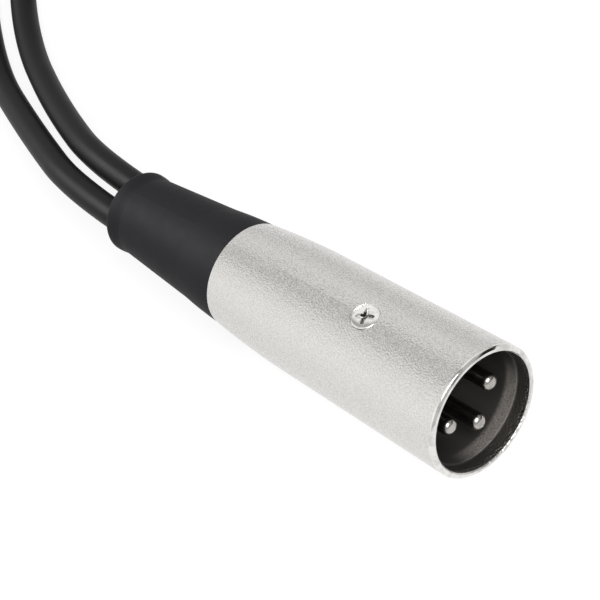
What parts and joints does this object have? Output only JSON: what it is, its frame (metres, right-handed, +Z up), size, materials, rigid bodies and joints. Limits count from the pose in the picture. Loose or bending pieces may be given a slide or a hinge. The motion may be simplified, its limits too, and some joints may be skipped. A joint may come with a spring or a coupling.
{
  "type": "xlr splitter cable",
  "caption": "Y splitter cable for balanced audio: round male plug with contact pins in a satin metal shell, moulded Y boot, two black legs ending in latching female plugs.",
  "frame": {"origin": "middle of the male plug's underside, on the surface that it lies on", "axes": "+X along the male plug's axis, out of its mouth; +Z up, through its retaining screw; the legs run towards -X"},
  "size_m": [0.2782, 0.0472, 0.0196],
  "materials": {
    "satin_nickel": "satin bead-blasted nickel",
    "black_plastic": "matte",
    "contact_silver": "polished",
    "screw_steel": "polished",
    "spring_bronze": "satin",
    "clamp_nylon": "matte",
    "boot_rubber": "matte",
    "cable_jacket": "satin",
    "shield_wire": "matte",
    "red_wire": "matte",
    "white_wire": "matte"
  },
  "bodies": {
    "cable_set": {"male_shell": "satin_nickel", "male_insert": "black_plastic", "male_pin_1": "contact_silver", "male_pin_2": "contact_silver", "male_pin_3": "contact_silver", "male_retaining_screw": "screw_steel", "male_ground_contact": "spring_bronze", "male_cable_clamp": "clamp_nylon", "y_boot": "boot_rubber", "male_wire_a_1": "shield_wire", "male_wire_a_2": "red_wire", "male_wire_a_3": "white_wire", "male_wire_b_1": "shield_wire", "male_wire_b_2": "red_wire", "male_wire_b_3": "white_wire", "cable_a": "cable_jacket", "cable_b": "cable_jacket", "female_a_shell": "satin_nickel", "female_a_insert": "black_plastic", "female_a_latch_spring": "spring_bronze", "female_a_retaining_screw": "screw_steel", "female_a_ground_contact": "spring_bronze", "female_a_cable_clamp": "clamp_nylon", "female_a_boot": "boot_rubber", "female_a_socket_1": "contact_silver", "female_a_wire_1": "shield_wire", "female_a_socket_2": "contact_silver", "female_a_wire_2": "red_wire", "female_a_socket_3": "contact_silver", "female_a_wire_3": "white_wire", "female_b_shell": "satin_nickel", "female_b_insert": "black_plastic", "female_b_latch_spring": "spring_bronze", "female_b_retaining_screw": "screw_steel", "female_b_ground_contact": "spring_bronze", "female_b_cable_clamp": "clamp_nylon", "female_b_boot": "boot_rubber", "female_b_socket_1": "contact_silver", "female_b_wire_1": "shield_wire", "female_b_socket_2": "contact_silver", "female_b_wire_2": "red_wire", "female_b_socket_3": "contact_silver", "female_b_wire_3": "white_wire"},
    "latch_a": {"female_a_latch": "satin_nickel"},
    "latch_b": {"female_b_latch": "satin_nickel"}
  },
  "joints": [
    {"name": "latch_a_press", "type": "hinge", "parent": "cable_set", "child": "latch_a", "pos_m": [-0.21495, 0.027, 0.0149], "axis": [0, -1, 0], "range_deg": [0, 3.5], "stiffness_Nm_per_rad": 0.3, "springref_deg": -2.86, "deforming": ["female_a_latch_spring"]},
    {"name": "latch_b_press", "type": "hinge", "parent": "cable_set", "child": "latch_b", "pos_m": [-0.21495, 0.0075, 0.0149], "axis": [0, -1, 0], "range_deg": [0, 3.5], "stiffness_Nm_per_rad": 0.3, "springref_deg": -2.86, "deforming": ["female_b_latch_spring"]}
  ]
}
